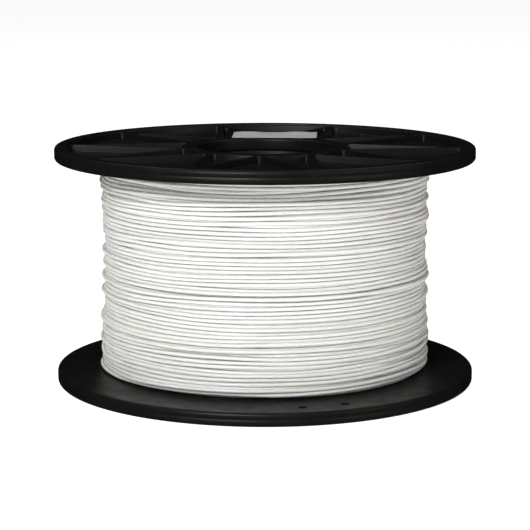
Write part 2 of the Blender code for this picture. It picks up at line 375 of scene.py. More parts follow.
def new_material(name):
    material = bpy.data.materials.new(name)
    material.use_nodes = True
    material.node_tree.nodes.clear()
    nodes = Nodes(material.node_tree)
    shader = nodes.add("ShaderNodeBsdfPrincipled")
    nodes.add("ShaderNodeOutputMaterial", {"Surface": shader.outputs[0]})
    place = nodes.add("ShaderNodeTexCoord").outputs["Object"]
    return material, nodes, shader, place


def noise(nodes, place, scale, detail=2.0, stretch=(1, 1, 1)):
    mapping = nodes.add("ShaderNodeMapping", {"Vector": place, "Scale": stretch})
    found = nodes.add(
        "ShaderNodeTexNoise", {"Vector": mapping.outputs[0], "Scale": scale, "Detail": detail}
    )
    return found.outputs[0]


def ranged(nodes, value, low, high, to_low, to_high):
    found = nodes.add(
        "ShaderNodeMapRange",
        {"Value": value, "From Min": low, "From Max": high, "To Min": to_low, "To Max": to_high},
    )
    return found.outputs[0]


def black_plastic(name, colour, gloss=0.40):
    """Moulded black plastic: a fine grain, faint flow marks and a few scuffs."""
    material, nodes, shader, place = new_material(name)
    cloud = noise(nodes, place, 35, 3)
    grain = noise(nodes, place, 2600, 2)
    flow = noise(nodes, place, 160, 4, (1, 1, 0.25))
    scuff = noise(nodes, place, 900, 6, (1.0, 0.12, 0.6))
    marks = ranged(nodes, scuff, 0.66, 0.74, 0, 1)
    patches = ranged(nodes, noise(nodes, place, 28, 2), 0.52, 0.68, 0, 1)
    worn = nodes.math("MULTIPLY", marks, patches)
    share = ranged(nodes, cloud, 0.3, 0.7, 0, 1)
    plain = blended(nodes, share, [0.8 * c for c in colour], [1.25 * c for c in colour])
    tinted = blended(nodes, nodes.math("MULTIPLY", worn, 0.5), plain, (0.04, 0.04, 0.037))
    nodes.tree.links.new(tinted, shader.inputs["Base Color"])
    shader.inputs["Specular IOR Level"].default_value = 0.2
    rough = nodes.math("ADD", ranged(nodes, flow, 0.3, 0.7, gloss - 0.05, gloss + 0.07),
                       nodes.math("MULTIPLY", worn, 0.15))
    nodes.tree.links.new(rough, shader.inputs["Roughness"])
    bump = nodes.add(
        "ShaderNodeBump", {"Strength": 0.25, "Distance": 0.00006, "Height": nodes.math("ADD", grain, flow)}
    )
    nodes.tree.links.new(bump.outputs[0], shader.inputs["Normal"])
    return material


def blended(nodes, share, first, second):
    """A colour between two, each given as a socket or as three numbers."""
    mix = nodes.add("ShaderNodeMix", {"Factor": share}, data_type="RGBA")
    for key, colour in (("A", first), ("B", second)):
        # A Mix node's number, vector and colour inputs share their names.
        socket = next(s for s in mix.inputs if s.name == key and s.type == "RGBA")
        if isinstance(colour, bpy.types.NodeSocket):
            nodes.tree.links.new(colour, socket)
        else:
            socket.default_value = (*colour, 1)
    return next(s for s in mix.outputs if s.type == "RGBA")


def white_filament(colour):
    """Extruded white plastic: slightly see-through, with faint dust and a satin skin."""
    material, nodes, shader, place = new_material("white_filament")
    cloud = noise(nodes, place, 60, 3, (1, 1, 3))
    share = ranged(nodes, cloud, 0.3, 0.7, 0, 1)
    tint = blended(nodes, share, [c * 0.965 for c in colour], [min(1, c * 1.02) for c in colour])
    nodes.tree.links.new(tint, shader.inputs["Base Color"])
    rough = ranged(nodes, noise(nodes, place, 420, 2, (1, 1, 2)), 0.3, 0.7, 0.34, 0.48)
    nodes.tree.links.new(rough, shader.inputs["Roughness"])
    shader.inputs["Subsurface Weight"].default_value = 0.6
    shader.inputs["Subsurface Radius"].default_value = (1.0, 0.85, 0.6)
    shader.inputs["Subsurface Scale"].default_value = 0.0025
    bump = nodes.add(
        "ShaderNodeBump",
        {"Strength": 0.12, "Distance": 0.00005, "Height": noise(nodes, place, 1500, 2, (1, 1, 2.5))},
    )
    nodes.tree.links.new(bump.outputs[0], shader.inputs["Normal"])
    return material


def label_paper(colour):
    """Pale coated paper, left blank."""
    material, nodes, shader, place = new_material("label_paper")
    fibre = noise(nodes, place, 1800, 3, (1, 0.4, 1))
    cloud = noise(nodes, place, 90, 2)
    tint = blended(nodes, ranged(nodes, cloud, 0.3, 0.7, 0, 1), [c * 0.94 for c in colour], colour)
    nodes.tree.links.new(tint, shader.inputs["Base Color"])
    nodes.tree.links.new(ranged(nodes, fibre, 0.3, 0.7, 0.42, 0.6), shader.inputs["Roughness"])
    bump = nodes.add("ShaderNodeBump", {"Strength": 0.2, "Distance": 0.00003, "Height": fibre})
    nodes.tree.links.new(bump.outputs[0], shader.inputs["Normal"])
    return material


# ---------------------------------------------------------------- shapes


def polar(radius, angle):
    return Vector((radius * cos(angle), radius * sin(angle)))


def corner_reach(before, corner, after, radius):
    """How far from a corner its rounding starts."""
    return radius / tan((before - corner).angle(after - corner) / 2)


def rounded(before, corner, after, radius, steps=6):
    """Points of an arc that rounds a corner."""
    first, second = (before - corner).normalized(), (after - corner).normalized()
    reach = corner_reach(before, corner, after, radius)
    centre = corner + (first + second).normalized() * sqrt(reach**2 + radius**2)
    start, end = corner + first * reach - centre, corner + second * reach - centre
    begin = atan2(start.y, start.x)
    sweep = (atan2(end.y, end.x) - begin + pi) % tau - pi
    return [centre + polar(radius, begin + sweep * i / steps) for i in range(steps + 1)]


def edge_round(centre_radius, centre_height, rounding, start, end, steps=5):
    turns = [radians(start + (end - start) * i / steps) for i in range(steps + 1)]
    return [(centre_radius + rounding * cos(t), centre_height + rounding * sin(t)) for t in turns]


def pocket_outline(hub_end, rim_end, base_radius, rib_width, rounding):
    """A three-sided pocket, symmetric about +X, between a rib, its mirror image and an arc about the axis."""
    along = (rim_end - hub_end).normalized()
    start = hub_end + Vector((along.y, -along.x)) * rib_width / 2
    apex = start - along * (start.y / along.y)
    reach = start.dot(along)
    corner = start + along * (sqrt(reach**2 - start.length_squared + base_radius**2) - reach)
    spread = atan2(corner.y, corner.x)
    count = max(6, round(2 * spread * base_radius / ARC_STEP))
    base = [polar(base_radius, spread - 2 * spread * i / count) for i in range(count + 1)]
    clear = 1.1 * corner_reach(apex, base[0], base[1], rounding)
    outline = rounded(base[-1], apex, base[0], rounding)
    outline += rounded(apex, base[0], base[1], rounding)
    outline += [point for point in base if clear < min((point - end).length for end in (base[0], base[-1]))]
    outline += rounded(base[-2], base[-1], apex, rounding)
    return outline[::-1] if along.y > 0 else outline


def offset_outline(outline, distance):
    """A closed outline moved inwards by a distance, or outwards by a negative one."""
    moved = []
    for i, point in enumerate(outline):
        first = (point - outline[i - 1]).normalized()
        second = (outline[(i + 1) % len(outline)] - point).normalized()
        inward = Vector((-first.y - second.y, first.x + second.x)).normalized()
        share = max(0.5, inward.dot(Vector((-first.y, first.x))))
        moved.append(point + inward * distance / share)
    return moved


def ring_of(centre, radius, count):
    return [centre + polar(radius, tau * i / count) for i in range(count)]


def loft(work, loops):
    """Quads between closed loops of equal length, given as lists of 3D points."""
    rows = [[work.verts.new(point) for point in loop] for loop in loops]
    for lower, upper in zip(rows, rows[1:]):
        for i in range(len(lower)):
            j = (i + 1) % len(lower)
            work.faces.new((lower[i], lower[j], upper[j], upper[i]))


def flat_face(work, loops, height, up):
    """A flat face bounded by closed outlines, the holes among them."""
    points, edges = [], []
    for loop in loops:
        first = len(points)
        points += [Vector(point) for point in loop]
        edges += [(first + i, first + (i + 1) % len(loop)) for i in range(len(loop))]
    whole = 0
    _, _, faces, *_ = delaunay_2d_cdt(points, edges, [], whole, 1e-9)
    corners = [work.verts.new((*point, height)) for point in points]
    for face, kept in zip(faces, crossed_oddly(points, edges, faces)):
        if kept:
            work.faces.new([corners[i] for i in (face if up else face[::-1])])


def crossed_oddly(points, edges, faces):
    """For each triangle, whether a ray from its middle crosses the outlines an odd number of times."""
    places = np.array([point[:] for point in points])
    middles = places[np.array(faces)].mean(axis=1)[:, None, :]
    starts, ends = places[np.array(edges)[:, 0]], places[np.array(edges)[:, 1]]
    spans = (starts[:, 1] > middles[..., 1]) != (ends[:, 1] > middles[..., 1])
    slope = (ends[:, 0] - starts[:, 0]) / np.where(ends[:, 1] == starts[:, 1], 1, ends[:, 1] - starts[:, 1])
    ahead = starts[:, 0] + (middles[..., 1] - starts[:, 1]) * slope > middles[..., 0]
    return (spans & ahead).sum(axis=1) % 2 == 1


def turned(work, profile):
    """A surface turned about Z from an open profile of (radius, height) points, outside on its left."""
    steps = [tau * i / ROUND_STEPS for i in range(ROUND_STEPS)]
    loft(work, [[(*polar(radius, angle), height) for angle in steps] for radius, height in profile])


def finished(name, work):
    """An object from a bmesh whose doubles are merged."""
    bmesh.ops.remove_doubles(work, verts=work.verts, dist=WELD)
    mesh = bpy.data.meshes.new(name)
    work.to_mesh(mesh)
    work.free()
    mesh.shade_smooth()
    obj = bpy.data.objects.new(name, mesh)
    bpy.context.scene.collection.objects.link(obj)
    return obj


def turn_outwards(obj):
    """Points all faces of a closed body outwards."""
    work = bmesh.new()
    work.from_mesh(obj.data)
    bmesh.ops.recalc_face_normals(work, faces=work.faces)
    work.to_mesh(obj.data)
    work.free()


def prism(work, outline, low, high):
    """A closed upright prism on a flat outline that runs anticlockwise."""
    lower = [work.verts.new((*point, low)) for point in outline]
    upper = [work.verts.new((*point, high)) for point in outline]
    work.faces.new(lower[::-1])
    work.faces.new(upper)
    for i, corner in enumerate(lower):
        work.faces.new((lower[i - 1], corner, upper[i], upper[i - 1]))


def block_outline(inner, outer, width, angle):
    """A rectangle that lies across a radius."""
    corners = [(inner, -width / 2), (outer, -width / 2), (outer, width / 2), (inner, width / 2)]
    return rotated([Vector(corner) for corner in corners], angle)


def cut(obj, operation, tool):
    """Joins a closed shape to an object, or takes it away, and discards the shape."""
    bmesh.ops.recalc_face_normals(tool, faces=tool.faces)
    mesh = bpy.data.meshes.new("tool")
    tool.to_mesh(mesh)
    tool.free()
    helper = bpy.data.objects.new("tool", mesh)
    bpy.context.scene.collection.objects.link(helper)
    change = obj.modifiers.new(operation, "BOOLEAN")
    change.operation = operation
    change.object = helper
    settle(obj)
    discard(helper)


def discard(*objects):
    for obj in objects:
        bpy.data.objects.remove(obj)


# ---------------------------------------------------------------- flanges and barrel


def wall_profile(settings):
    """A pocket's wall as (inset, height), from the ribs' flat top to the web."""
    edge, fillet, draft = settings.edge_rounding, settings.root_fillet, settings.draft
    top = edge_round(-edge, RIB_TOP - edge, edge, 90, 0, 3)
    root = edge_round(draft + fillet, WEB_THICKNESS + fillet, fillet, 180, 270, 4)
    return [(-edge - SEAT, RIB_TOP), *top, *root, (draft + fillet + SEAT, WEB_THICKNESS)]


def hole_profile(settings):
    """A tie-off hole's wall as (radius, height), rounded on the winding's side."""
    radius, edge = settings.tie_hole_radius, settings.edge_rounding
    lower = edge_round(radius + edge, edge, edge, 180, 270, 3)
    return [(radius + SEAT, WEB_THICKNESS), (radius, WEB_THICKNESS - SEAT), *lower, (radius + edge + SEAT, 0)]


def tie_hole_centres():
    offset = asin(TIE_HOLE_SPACING / 2 / TIE_HOLE_CIRCLE)
    return [polar(TIE_HOLE_CIRCLE, offset), polar(TIE_HOLE_CIRCLE, -offset)]


def pocket(name, outline, settings, holes=()):
    """One pocket: its walls, and its floor with any holes through it."""
    work = bmesh.new()
    profile = wall_profile(settings)
    loft(work, [[(*point, height) for point in offset_outline(outline, inset)] for inset, height in profile])
    edges = [offset_outline(outline, profile[-1][0])]
    for centre in holes:
        wall = hole_profile(settings)
        rings = [(ring_of(centre, radius, HOLE_STEPS), height) for radius, height in wall]
        loft(work, [[(*point, height) for point in ring] for ring, height in rings])
        edges.append(ring_of(centre, wall[0][0], HOLE_STEPS))
    flat_face(work, edges, WEB_THICKNESS, up=True)
    return finished(name, work)


def outer_skin_profile():
    """From the ribs' flat top, over the rim and down to the flange's inner face."""
    foot, lip, rim = 0.0003, 0.0005, 0.0016
    outer = FLANGE_RADIUS - rim
    return [
        (RIM_INNER_RADIUS - foot - SEAT, RIB_TOP),
        *edge_round(RIM_INNER_RADIUS - foot, RIB_TOP + foot, foot, 270, 360, 3),
        *edge_round(RIM_INNER_RADIUS + lip, FLANGE_THICKNESS - lip, lip, 180, 90, 4),
        (RIM_INNER_RADIUS + lip + SEAT, FLANGE_THICKNESS),
        (outer - SEAT, FLANGE_THICKNESS),
        *edge_round(outer, FLANGE_THICKNESS - rim, rim, 90, 0, 6),
        (FLANGE_RADIUS, FLANGE_THICKNESS * 0.5 + PARTING_HALF_WIDTH),
        (FLANGE_RADIUS - PARTING_DEPTH, FLANGE_THICKNESS * 0.5),
        (FLANGE_RADIUS, FLANGE_THICKNESS * 0.5 - PARTING_HALF_WIDTH),
        *edge_round(outer, rim, rim, 0, -90, 6),
        (outer - SEAT, 0),
    ]


def inner_skin_profile():
    """From the flange's inner face, round the collar and up through the bore to the hub ring's top."""
    collar_inner = COLLAR_RADIUS - COLLAR_WALL
    lip, edge = 0.0012, 0.0005
    return [
        (COLLAR_RADIUS + COLLAR_FOOT, 0),
        (COLLAR_RADIUS, 0),
        (COLLAR_RADIUS, -COLLAR_LENGTH + edge),
        (COLLAR_RADIUS - edge, -COLLAR_LENGTH),
        (collar_inner + edge, -COLLAR_LENGTH),
        (collar_inner, -COLLAR_LENGTH + edge),
        (collar_inner, 0),
        (BORE_RADIUS + edge + SEAT, 0),
        *edge_round(BORE_RADIUS + edge, edge, edge, 270, 180, 4),
        *edge_round(BORE_RADIUS + lip, RIB_TOP - lip, lip, 180, 90, 6),
        (BORE_RADIUS + lip + SEAT, RIB_TOP),
    ]


def pocket_pair(settings):
    """The pocket with its base at the rim, and the one with its base at the hub, both about +X."""
    half = pi / settings.rib_pairs
    shared = (settings.rib_width, settings.corner)
    hub, rim = Vector((HUB_RING_RADIUS, 0)), polar(POCKET_OUTER_RADIUS, half)
    outer = pocket_outline(hub, rim, POCKET_OUTER_RADIUS, *shared)
    hub, rim = polar(HUB_RING_RADIUS, half), Vector((POCKET_OUTER_RADIUS, 0))
    return outer, pocket_outline(hub, rim, HUB_RING_RADIUS, *shared)


def pocket_outlines(settings):
    """All pockets of a flange, the two kinds by turns."""
    half = pi / settings.rib_pairs
    outer, inner = pocket_pair(settings)
    outlines = [rotated(outer, 2 * half * i) for i in range(settings.rib_pairs)]
    return outlines + [rotated(inner, 2 * half * i + half) for i in range(settings.rib_pairs)]


def flange(name, settings, material):
    """One flange with its inner face at height 0 and its outer face up."""
    half = pi / settings.rib_pairs
    outer, inner = pocket_pair(settings)
    holes = tie_hole_centres()
    plain = pocket("plain_pocket", outer, settings)
    holed = pocket("holed_pocket", outer, settings, holes)
    small = pocket("hub_pocket", inner, settings)

    work = bmesh.new()
    outside, inside = outer_skin_profile(), inner_skin_profile()
    turned(work, outside)
    turned(work, inside)
    mouth = wall_profile(settings)[0][0]
    top = [circle(outside[0][0]), circle(inside[-1][0])]
    top += [offset_outline(outline, mouth) for outline in pocket_outlines(settings)]
    flat_face(work, top, RIB_TOP, up=True)
    hole_radius = hole_profile(settings)[-1][0]
    under = [circle(outside[-1][0]), circle(inside[0][0])]
    for turn in (0, pi):
        under += [rotated(ring_of(centre, hole_radius, HOLE_STEPS), turn) for centre in holes]
    flat_face(work, under, 0, up=False)
    body = finished(name, work)

    tree = bpy.data.node_groups.get("Ring of copies") or ring_tree()
    values = {"Count": settings.rib_pairs, "Weld": WELD, "Material": material}
    run_tree(body, tree, {**values, "Piece": plain, "Special piece": holed, "Special every": 5})
    run_tree(body, tree, {**values, "Piece": small, "Special piece": small, "First angle": half})
    discard(plain, holed, small)
    turn_outwards(body)

    slots, clips = bmesh.new(), bmesh.new()
    for i in range(CLIPS):
        angle = tau * i / CLIPS
        between, reach = angle + pi / CLIPS, COLLAR_RADIUS + CLIP_REACH
        across = block_outline(COLLAR_RADIUS - 2 * COLLAR_WALL, BARREL_RADIUS, COLLAR_SLOT_WIDTH, between)
        prism(slots, across, -2 * COLLAR_LENGTH, -COLLAR_SLOT_START)
        catch = block_outline(COLLAR_RADIUS - COLLAR_WALL / 2, reach, CLIP_WIDTH, angle)
        prism(clips, catch, -CLIP_FAR, -CLIP_NEAR)
    cut(body, "DIFFERENCE", slots)
    cut(body, "UNION", clips)
    return body


def circle(radius):
    return [polar(radius, tau * i / ROUND_STEPS) for i in range(ROUND_STEPS)]


def rotated(outline, angle):
    turn = Matrix.Rotation(angle, 2)
    return [turn @ point for point in outline]


def barrel(name, material):
    """The barrel with its middle at height 0: a drum round a bore tube, joined by ribs."""
    end, soft = (UPPER_FACE - LOWER_FACE) / 2 - GAP, BARREL_EDGE
    floor = end - END_RECESS
    tube = [(BORE_TUBE_RADIUS + SEAT, floor), (BORE_TUBE_RADIUS, floor), (BORE_TUBE_RADIUS, end - soft),
            (BORE_TUBE_RADIUS - soft, end), (BORE_RADIUS + soft, end), (BORE_RADIUS, end - soft)]
    drum = [(DRUM_RADIUS - SEAT, floor), (DRUM_RADIUS, floor), (DRUM_RADIUS, end - soft),
            (DRUM_RADIUS + soft, end), (BARREL_RADIUS - soft, end), (BARREL_RADIUS, end - soft)]
    work = bmesh.new()
    for skin in (tube, drum):
        turned(work, skin + [(radius, -height) for radius, height in reversed(skin)])
    cells = cell_outlines()
    for height, up in ((floor, True), (-floor, False)):
        flat_face(work, [circle(tube[0][0]), circle(drum[0][0]), *cells], height, up)
    body = finished(name, work)
    walls = bmesh.new()
    loft(walls, [[(*point, height) for point in cells[0]] for height in (floor, 0, -floor)])
    cell = finished("cell", walls)
    tree = bpy.data.node_groups["Ring of copies"]
    values = {"Count": BARREL_RIBS, "Weld": WELD, "Material": material}
    run_tree(body, tree, {**values, "Piece": cell, "Special piece": cell})
    discard(cell)
    turn_outwards(body)
    cut(body, "DIFFERENCE", barrel_openings())
    return body


def cell_outlines():
    """The hollows between the barrel's ribs."""
    inner, outer = BORE_TUBE_RADIUS + BARREL_EDGE, DRUM_RADIUS - BARREL_EDGE
    half = pi / BARREL_RIBS
    outline = []
    for radius, side in ((outer, 1), (inner, -1)):
        spread = half - asin(BARREL_RIB_WIDTH / 2 / radius)
        outline += [polar(radius, side * spread * (i / 8 - 1)) for i in range(17)]
    return [rotated(outline, tau * i / BARREL_RIBS) for i in range(BARREL_RIBS)]


def barrel_openings():
    """The windows that the flanges' clips catch in, and the hole for the filament's inner end."""
    work = bmesh.new()
    half, width = (UPPER_FACE - LOWER_FACE) / 2, CLIP_WIDTH + 2 * WINDOW_PLAY
    near, far = half - CLIP_NEAR + WINDOW_PLAY, half - CLIP_FAR - WINDOW_PLAY
    for i in range(CLIPS):
        for turn, low, high in ((UPPER_TURN, far, near), (LOWER_TURN, -near, -far)):
            angle = tau * i / CLIPS + turn
            prism(work, block_outline(WINDOW_INNER_RADIUS, WINDOW_OUTER_RADIUS, width, angle), low, high)
    place = Matrix.Rotation(ANCHOR_ANGLE, 4, "Z")
    place @= Matrix.Translation((BARREL_RADIUS, 0, ANCHOR_HEIGHT - HEIGHT / 2))
    place @= Matrix.Rotation(pi / 2, 4, "Y")
    size = {"radius1": ANCHOR_HOLE_RADIUS, "radius2": ANCHOR_HOLE_RADIUS, "depth": ANCHOR_HOLE_DEPTH}
    bmesh.ops.create_cone(work, cap_ends=True, segments=24, matrix=place, **size)
    return work


# ---------------------------------------------------------------- the winding


def lay(settings):
    """Lays the outer layers turn by turn over an even winding, each strand resting on what is under it.

    It gives each turn as rows of (radius, height) at even angles, and the surface under the turns that
    are shown, as radii over angle and height.
    """
    random = np.random.default_rng(settings.seed)
    radius = settings.diameter / 2
    angles, cell, reach = LAY_ANGLES, settings.diameter / 28, 40
    bottom = LOWER_FACE - LAY_MARGIN
    columns = round((UPPER_FACE + LAY_MARGIN - bottom) / cell) + 1
    surface = np.full((angles, columns), settings.even_radius)
    rows = np.arange(angles)
    across = np.arange(-round(radius / cell), round(radius / cell) + 1)
    cap = np.sqrt(np.maximum(radius**2 - (across * cell) ** 2, 0))
    low, high = LOWER_FACE + radius + cell, UPPER_FACE - radius - cell
    guide, direction, layer, drift, shift, last = low, 1, 1, 0.0, 0.0, settings.even_radius + radius
    turns, surfaces = [], {}
    share = rows / angles
    while not (layer == settings.layers and guide < low + settings.diameter * 1.6):
        heights = surface[::12].mean(0)
        here = int((guide - bottom) / cell) + 15 * direction
        local = heights[max(60, here - 25) : min(columns - 60, here + 25)]
        excess = (local.mean() - heights[70:-70].mean()) / settings.diameter if len(local) else 0
        advance = settings.diameter * settings.pitch * min(1.7, max(0.7, 1 + settings.levelling * excess))
        steps = guide + direction * advance * (rows + 1) / angles
        if steps[-1] > high or steps[-1] < low:
            steps = np.clip(steps, low, high)
            direction, layer = -direction, layer + 1
        guide = steps[-1]
        stray = 0.75 * drift + settings.wander * 0.66 * random.normal()
        swing = random.normal(size=2) * settings.wander / 2
        wave = swing[0] * np.sin(tau * share) + swing[1] * np.sin(2 * tau * share + tau * random.random())
        wave *= np.sin(pi * share)
        target = np.clip(steps + drift + (stray - drift) * share * share * (3 - 2 * share) + wave, low, high)
        drift = stray

        first = np.round((target - bottom) / cell).astype(int)
        window = first[:, None] + np.arange(-reach + across[0], reach + across[-1] + 1)[None, :]
        under = surface[rows[:, None], np.clip(window, 0, columns - 1)]
        rest = np.full((angles, 2 * reach + 1), -1.0)
        for j, rise in enumerate(cap):
            np.maximum(rest, under[:, j : j + 2 * reach + 1] + rise, out=rest)

        slide = settle_sideways(rest, reach, cell, shift, low - target, high - target)
        shift = slide[-1]
        height = target + slide
        support = rest[rows, np.clip(np.round(slide / cell).astype(int) + reach, 0, 2 * reach)]
        run = taut(support, last, tau / angles)
        last = run[-1]
        middle = np.round((height - bottom) / cell).astype(int)
        for j, rise in zip(across, cap):
            column = np.clip(middle + j, 0, columns - 1)
            surface[rows, column] = np.maximum(surface[rows, column], run + rise)
        turns.append(np.stack([run, height], axis=1))
        surfaces[len(turns)] = surface[:, ::3].astype(np.float32) if layer >= settings.layers - 2 else None
        if layer > settings.layers:
            raise RuntimeError("the guide passed its last layer: lower the pitch or the wander")
    shown = min(settings.shown_turns, len(turns))
    core = surfaces[len(turns) - shown]
    if core is None:
        raise RuntimeError("more turns are shown than the last layers hold")
    return turns, shown, core, bottom, cell * 3


def settle_sideways(rest, reach, cell, start, lowest, highest):
    """How far each point of a turn slides into the grooves below it, smoothed by the strand's stiffness."""
    rows = np.arange(len(rest))
    kernel = np.exp(-0.5 * (np.arange(-8, 9) / 3.0) ** 2)
    kernel /= kernel.sum()
    slide = np.zeros(len(rest))
    for _ in range(40):
        at = np.clip(np.round(slide / cell).astype(int) + reach, 3, 2 * reach - 3)
        slope = (rest[rows, at + 3] - rest[rows, at - 3]) / (6 * cell)
        slide = (slide - 1.2 * cell * np.clip(slope, -1, 1)) * 0.985
        padded = np.concatenate([np.full(8, start), slide, np.full(8, slide[-1])])
        slide = np.convolve(padded, kernel, "valid")
        slide = np.clip(slide, np.maximum(lowest, -32 * cell), np.minimum(highest, 32 * cell))
    return slide


def taut(support, start, step):
    """The radius of a strand pulled tight over its supports, with straight spans between them."""
    run = support.copy()
    for _ in range(120):
        near = 1 / np.concatenate([[start], run, run[-1:]])
        run = np.maximum(support, 2 * cos(step) / (near[:-2] + near[2:]))
    kernel = np.exp(-0.5 * (np.arange(-5, 6) / 2.0) ** 2)
    kernel /= kernel.sum()
    padded = np.concatenate([np.full(5, start), run, np.full(5, run[-1])])
    return np.maximum(np.convolve(padded, kernel, "valid"), support - STRAND_SQUASH)


# The filament is laid clockwise, seen from above, and its outer end leaves at this angle.
LEAVING_ANGLE = radians(161)
OUTER_END_ROUTE = [
    (151, 0.0792, 0.0108),
    (142, 0.0804, 0.0120),
    (133, 0.0829, 0.0130),
    (125, 0.0862, 0.0132),
    (119, 0.0889, 0.0120),
    (115, 0.0901, 0.0096),
    (113.5, 0.0902, 0.0064),
    (113.36, 0.0902, 0.0024),
]
INNER_END_ROUTE = [
    (206, 0.0498, 0.0205),
    (206, 0.0475, 0.0205),
    (206.4, 0.0450, 0.0205),
    (209, 0.0432, 0.0207),
    (214, 0.0424, 0.0212),
    (220, 0.0422, 0.0218),
]


def route_points(route):
    return [Vector((*polar(radius, radians(degrees)), height)) for degrees, radius, height in route]


def smooth_path(points, parts=6):
    """A smooth curve through the points."""
    ends = [2 * points[0] - points[1], *points, 2 * points[-1] - points[-2]]
    path = []
    for a, b, c, d in zip(ends, ends[1:], ends[2:], ends[3:]):
        for i in range(parts):
            t = i / parts
            bend = (2 * a - 5 * b + 4 * c - d) * t**2 + (3 * b - a - 3 * c + d) * t**3
            path.append((2 * b + (c - a) * t + bend) / 2)
    return [*path, points[-1]]


def strand(name, path, settings, material):
    """A filament of round section along a path, by geometry nodes."""
    mesh = bpy.data.meshes.new(name)
    mesh.from_pydata([tuple(point) for point in path], [(i, i + 1) for i in range(len(path) - 1)], [])
    obj = bpy.data.objects.new(name, mesh)
    bpy.context.scene.collection.objects.link(obj)
    tree = bpy.data.node_groups.get("Filament along path") or strand_tree()
    run_tree(obj, tree, {"Radius": settings.diameter / 2, "Sides": settings.sides, "Material": material})
    return obj


def laid_points(turns):
    """The laid turns as points, two grid steps apart."""
    points = []
    for turn in turns:
        for i in range(0, len(turn), 2):
            angle = LEAVING_ANGLE - tau * i / len(turn)
            points.append(Vector((*polar(turn[i][0], angle), turn[i][1])))
    return points


def core_surface(name, surface, bottom, cell, material):
    """The winding under the strands that are shown: its laid surface outside, the barrel's radius inside."""
    work = bmesh.new()
    first = int((LOWER_FACE + CORE_END_GAP - bottom) / cell)
    final = int((UPPER_FACE - CORE_END_GAP - bottom) / cell)
    inner = BARREL_RADIUS + GAP
    columns = [(i, LEAVING_ANGLE - tau * i / len(surface)) for i in range(0, len(surface), 2)]
    loops = [[(*polar(inner, angle), bottom + first * cell) for _, angle in columns]]
    for j in range(first, final + 1):
        height = bottom + j * cell
        loops.append([(*polar(surface[i][j] - CORE_DEPTH, angle), height) for i, angle in columns])
    loops.append([(*polar(inner, angle), bottom + final * cell) for _, angle in columns])
    loft(work, loops + loops[:1])
    bmesh.ops.remove_doubles(work, verts=work.verts, dist=CORE_WELD)
    bmesh.ops.recalc_face_normals(work, faces=work.faces)
    obj = finished(name, work)
    obj.data.materials.append(material)
    return obj


# ---------------------------------------------------------------- operators


class SPOOL_OT_stage(bpy.types.Operator):
    """Make the floor, the lights and the camera"""

    bl_idname = "spool.stage"
    bl_label = "Stage"

    def execute(self, context):
        stage = context.scene.spool_stage
        context.scene.view_settings.view_transform = "Standard"
        make_floor(stage.floor)
        make_world(context.scene, stage.room)
        middle = Vector((0, 0, HEIGHT / 2))
        softbox("key_light", (-0.7, -1.8, 1.05), middle, 0.8, stage.key)
        softbox("fill_light", (1.5, -1.2, 0.6), middle, 1.0, stage.fill)
        softbox("top_light", (0.1, -0.2, 1.7), middle, 1.4, stage.top)
        softbox("back_left_light", (-0.9, 0.8, 2.0), middle, 0.8, stage.back)
        softbox("back_right_light", (0.9, 0.8, 2.0), middle, 0.8, stage.back)
        make_camera(context.scene, stage)
        return {"FINISHED"}


def make_floor(glow):
    place = (0, 0, -FLOOR_DROP)
    bpy.ops.mesh.primitive_circle_add(vertices=96, radius=FLOOR_RADIUS, fill_type="NGON", location=place)
    floor = bpy.context.object
    floor.name = "floor"
    material, _, shader, _ = new_material("floor_white")
    shader.inputs["Base Color"].default_value = (0.8, 0.8, 0.8, 1)
    shader.inputs["Emission Color"].default_value = (1, 1, 1, 1)
    shader.inputs["Emission Strength"].default_value = glow
    shader.inputs["Roughness"].default_value = 0.9
    shader.inputs["Specular IOR Level"].default_value = 0.1
    floor.data.materials.append(material)
    floor.visible_glossy = False


def make_world(scene, brightness):
    world = bpy.data.worlds.new("room")
    world.use_nodes = True
    background = world.node_tree.nodes["Background"]
    background.inputs["Color"].default_value = (1, 1, 1, 1)
    background.inputs["Strength"].default_value = brightness
    # The room is pale to the eye, but its light comes from the lamps and the floor.
    world.cycles_visibility.diffuse = False
    world.cycles_visibility.glossy = False
    scene.world = world


def softbox(name, place, aim, size, power):
    data = bpy.data.lights.new(name, "AREA")
    data.shape = "DISK"
    data.size = size
    data.energy = power
    light = bpy.data.objects.new(name, data)
    light.location = place
    light.rotation_euler = (aim - Vector(place)).to_track_quat("-Z", "Y").to_euler()
    bpy.context.scene.collection.objects.link(light)


def make_camera(scene, stage):
    data = bpy.data.cameras.new("camera")
    data.lens = stage.lens
    camera = bpy.data.objects.new("camera", data)
    camera.location = (0, -stage.camera_distance, HEIGHT + stage.camera_height)
    aim = Vector((0, 0, HEIGHT / 2 - AIM_DROP)) - camera.location
    camera.rotation_euler = aim.to_track_quat("-Z", "Y").to_euler()
    scene.collection.objects.link(camera)
    scene.camera = camera


class SPOOL_OT_flanges(bpy.types.Operator):
    """Make the upper and lower flanges from one moulding"""

    bl_idname = "spool.flanges"
    bl_label = "Flanges"

    def execute(self, context):
        settings = context.scene.spool_moulding
        material = black_plastic("black_plastic", settings.colour)
        upper = flange("upper_flange_moulding", settings, material)
        lower = bpy.data.objects.new("lower_flange_moulding", upper.data.copy())
        context.scene.collection.objects.link(lower)
        upper.data.transform(Matrix.Translation((0, 0, UPPER_FACE)) @ Matrix.Rotation(UPPER_TURN, 4, "Z"))
        flipped = Matrix.Rotation(LOWER_TURN, 4, "Z") @ Matrix.Rotation(pi, 4, "X")
        lower.data.transform(Matrix.Translation((0, 0, LOWER_FACE)) @ flipped)
        for piece, node in ((upper, "upper_flange"), (lower, "lower_flange")):
            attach(piece, ROOT)
            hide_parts(node)
        return {"FINISHED"}


